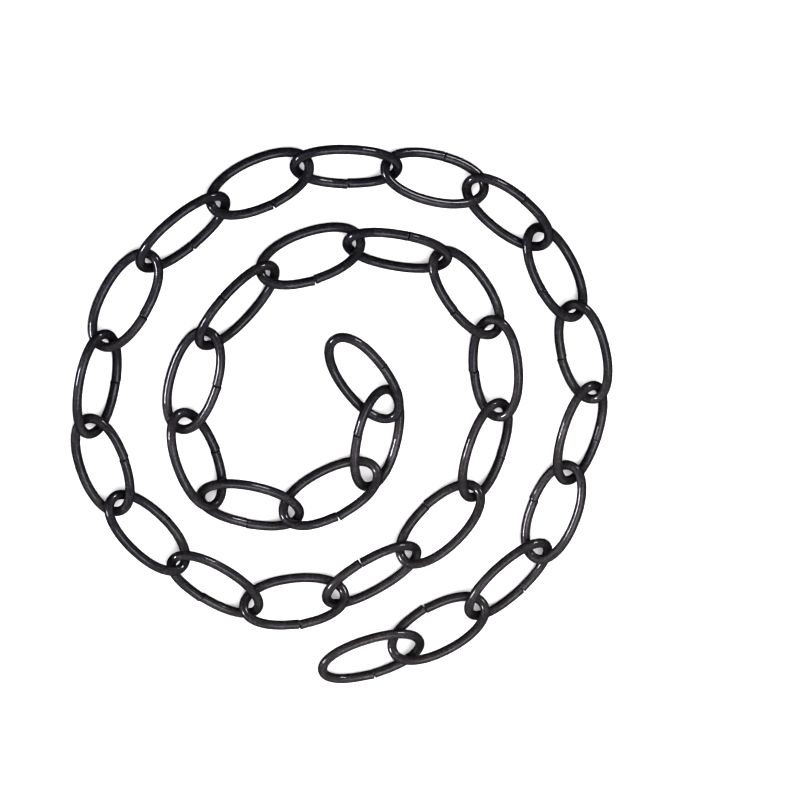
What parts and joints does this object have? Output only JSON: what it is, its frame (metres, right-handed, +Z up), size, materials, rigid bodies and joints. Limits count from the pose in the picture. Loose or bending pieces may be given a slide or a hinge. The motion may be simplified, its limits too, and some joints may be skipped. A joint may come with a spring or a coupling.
{
  "type": "lamp chain",
  "caption": "Length of dark painted steel chain for hanging a lamp, with oval links of bent round wire, laid on the floor in a loose flat coil.",
  "frame": {"origin": "on the floor, under the middle of the coil's outline", "axes": "+Z up out of the floor; the chain runs clockwise, seen from above, from link_01 at its inner end to link_32 at its outer end, which lies at -Y"},
  "size_m": [0.193, 0.2023, 0.0128],
  "materials": {
    "link_paint": "satin charcoal paint over drawn steel wire"
  },
  "bodies": {
    "root": {"link_01": "link_paint", "link_02": "link_paint", "link_03": "link_paint", "link_04": "link_paint", "link_05": "link_paint", "link_06": "link_paint", "link_07": "link_paint", "link_08": "link_paint", "link_09": "link_paint", "link_10": "link_paint", "link_11": "link_paint", "link_12": "link_paint", "link_13": "link_paint", "link_14": "link_paint", "link_15": "link_paint", "link_16": "link_paint", "link_17": "link_paint", "link_18": "link_paint", "link_19": "link_paint", "link_20": "link_paint", "link_21": "link_paint", "link_22": "link_paint", "link_23": "link_paint", "link_24": "link_paint", "link_25": "link_paint", "link_26": "link_paint", "link_27": "link_paint", "link_28": "link_paint", "link_29": "link_paint", "link_30": "link_paint", "link_31": "link_paint", "link_32": "link_paint"}
  },
  "joints": []
}
